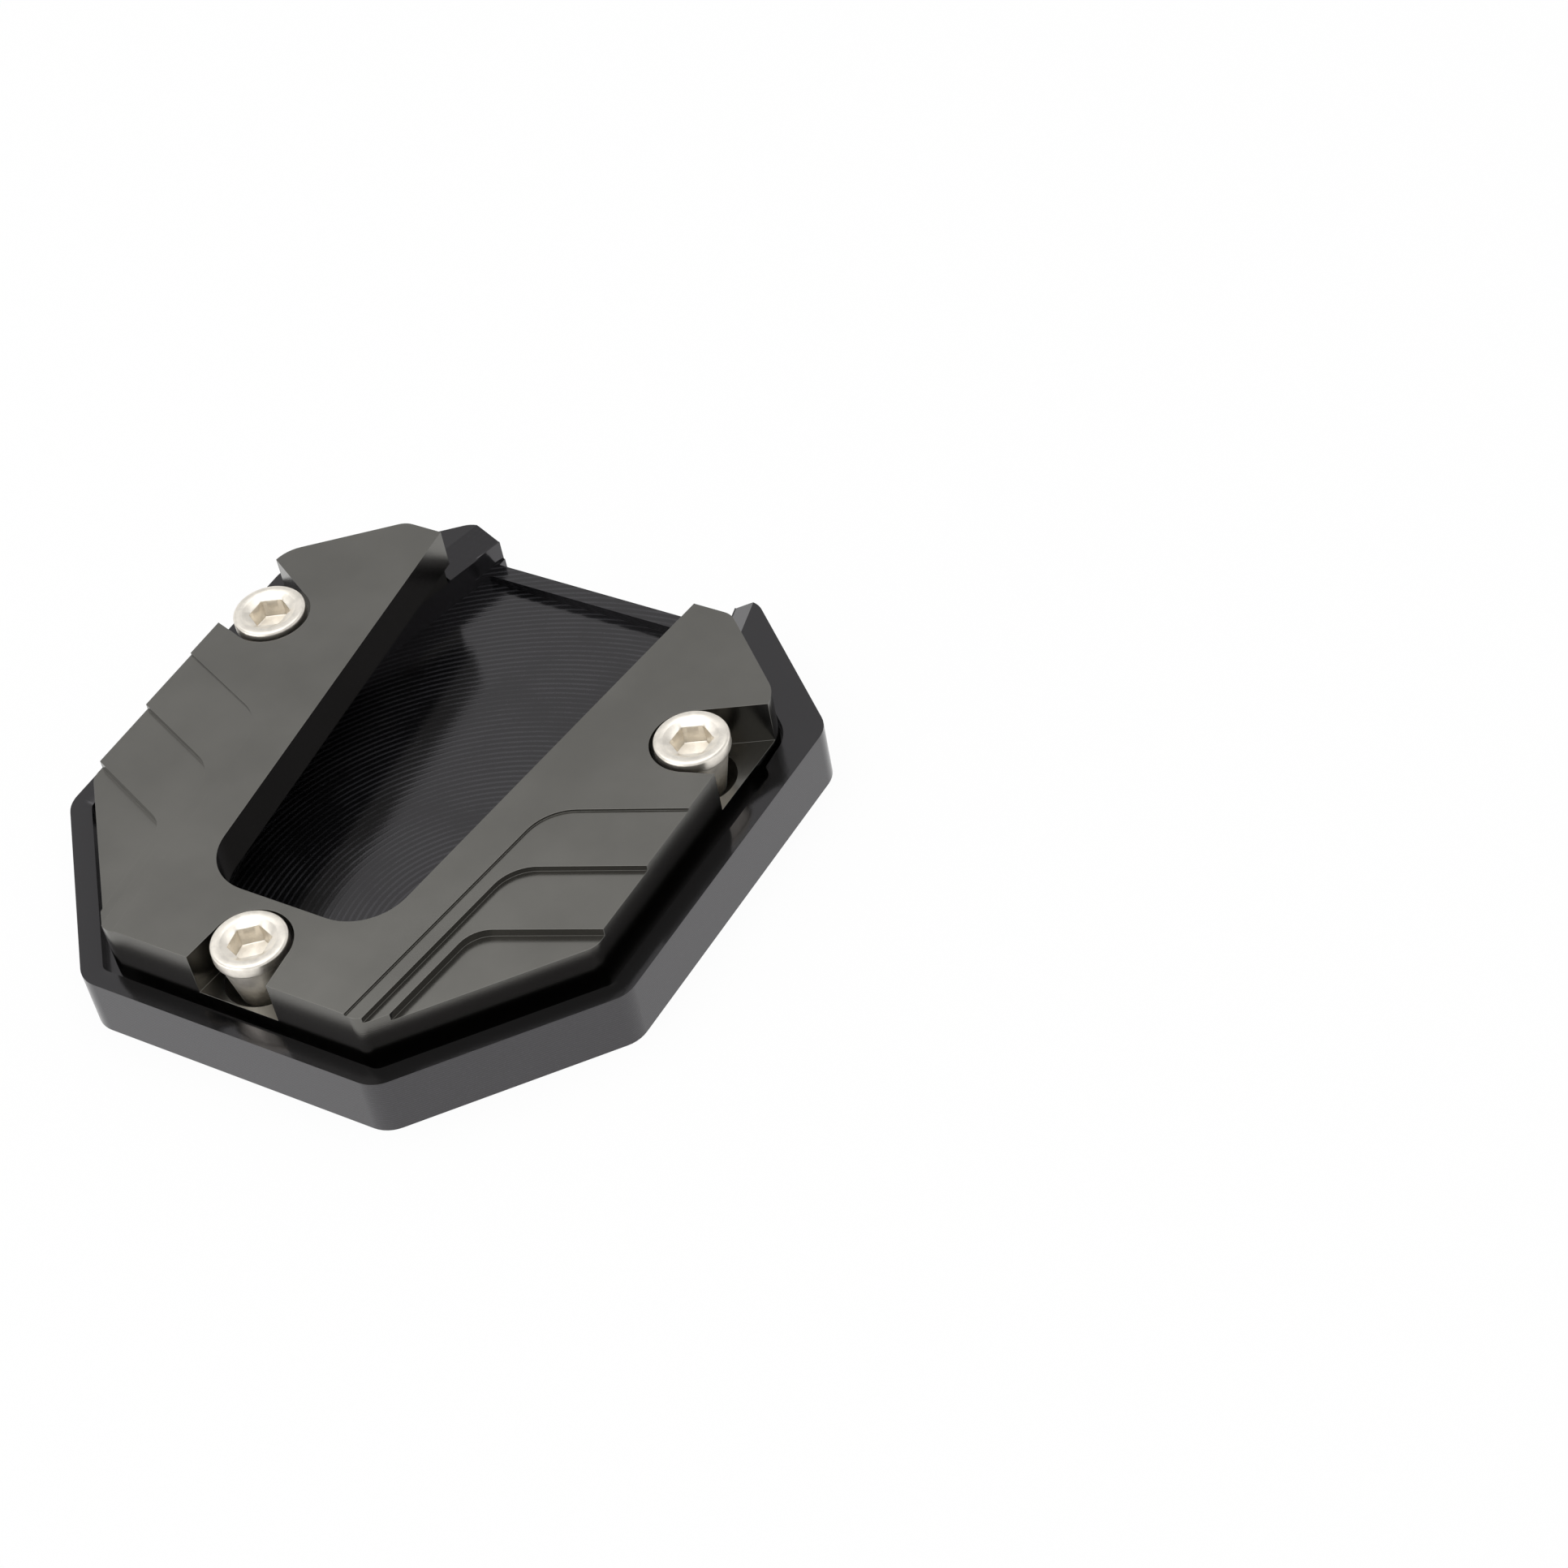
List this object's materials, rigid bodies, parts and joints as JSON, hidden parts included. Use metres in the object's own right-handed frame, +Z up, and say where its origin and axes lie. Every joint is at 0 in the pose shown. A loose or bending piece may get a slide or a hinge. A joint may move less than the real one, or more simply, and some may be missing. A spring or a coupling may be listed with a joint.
{
  "type": "kickstand foot enlarger",
  "caption": "Milled plate that clamps round a motorbike kickstand foot to widen it: rimmed base with a foot pocket, slotted clamp plate and socket screws.",
  "frame": {"origin": "middle of the outline, on the ground face", "axes": "+Z up from the ground; +Y from the closed front with the single screw to the open back where the stand's leg leaves; +X across, to the right seen from the front"},
  "size_m": [0.09, 0.0944, 0.0171],
  "materials": {
    "black_anodised": "glossy black anodised, fine milling marks",
    "titanium_anodised": "satin grey anodised",
    "screw_steel": "bright turned steel with a warm tone"
  },
  "bodies": {
    "root": {"base_plate": "black_anodised", "clamp_plate": "titanium_anodised", "clamp_screws": "screw_steel"}
  },
  "joints": []
}
